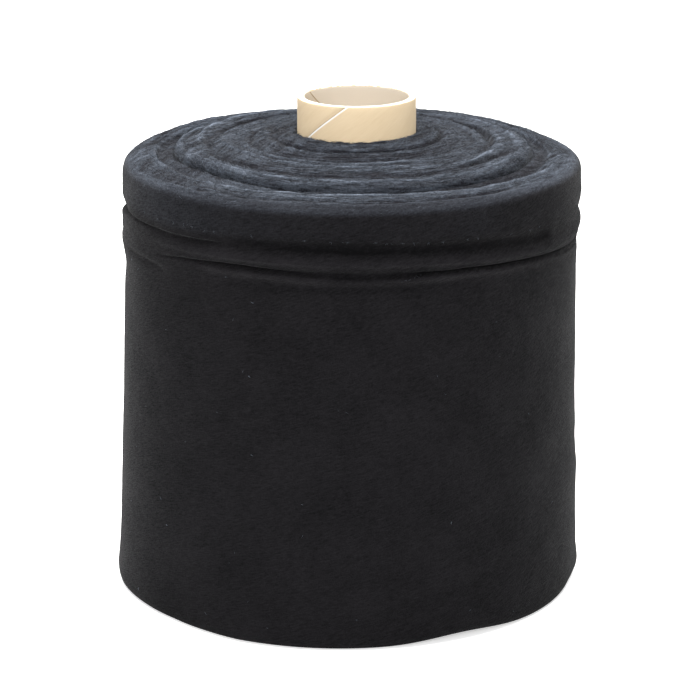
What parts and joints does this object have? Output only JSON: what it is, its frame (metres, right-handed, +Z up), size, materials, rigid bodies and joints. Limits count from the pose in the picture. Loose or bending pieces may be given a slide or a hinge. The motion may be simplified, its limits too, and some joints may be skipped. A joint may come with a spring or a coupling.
{
  "type": "roll of molton",
  "caption": "Upright roll of black napped cotton molton wound on a paperboard core, from which lengths of lining or masking cloth are drawn.",
  "frame": {"origin": "on the floor at the middle of the foot of the standing roll", "axes": "+Z up along the roll, +X to the right and -Y towards the viewer of the front"},
  "size_m": [0.3468, 0.3468, 0.3638],
  "materials": {
    "kraft_board": "matt spiral-wound kraft paperboard",
    "molton": "black cotton napped on both faces"
  },
  "bodies": {
    "root": {"core_tube": "kraft_board", "molton_roll": "molton"}
  },
  "joints": []
}
